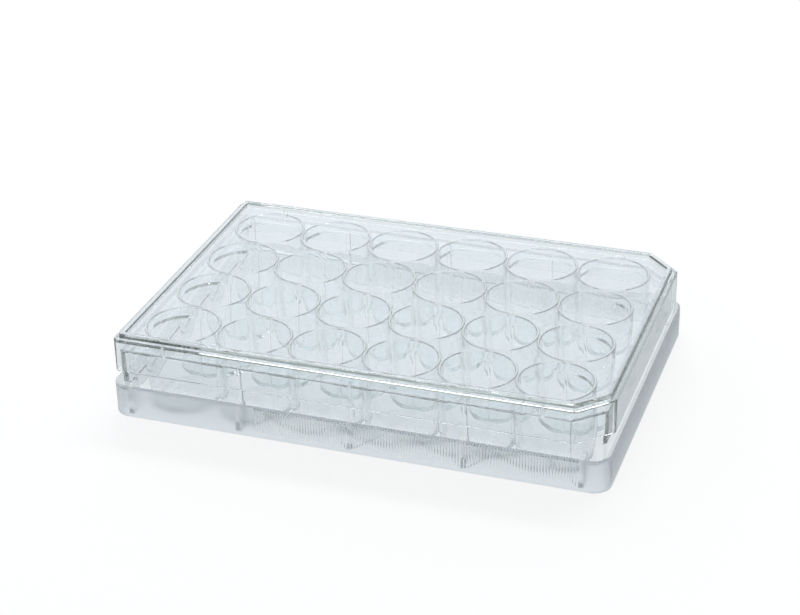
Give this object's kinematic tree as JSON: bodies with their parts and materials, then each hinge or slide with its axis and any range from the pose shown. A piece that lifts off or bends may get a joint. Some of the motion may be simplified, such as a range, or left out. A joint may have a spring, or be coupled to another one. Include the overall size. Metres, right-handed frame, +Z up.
{
  "type": "well plate",
  "caption": "Clear moulded culture plate with a grid of open round wells, a ribbed base flange, cut corners at one end and a loose shallow lid.",
  "frame": {"origin": "on the table, under the middle of the base flange", "axes": "+X along the plate towards the end with the cut corners, +Z up"},
  "size_m": [0.1278, 0.0854, 0.0224],
  "materials": {
    "plate_polystyrene": "clear polystyrene, glossy, with a finely frosted base flange",
    "lid_polystyrene": "clear polystyrene, glossy"
  },
  "bodies": {
    "root": {"plate": "plate_polystyrene", "lid": "lid_polystyrene"}
  },
  "joints": []
}
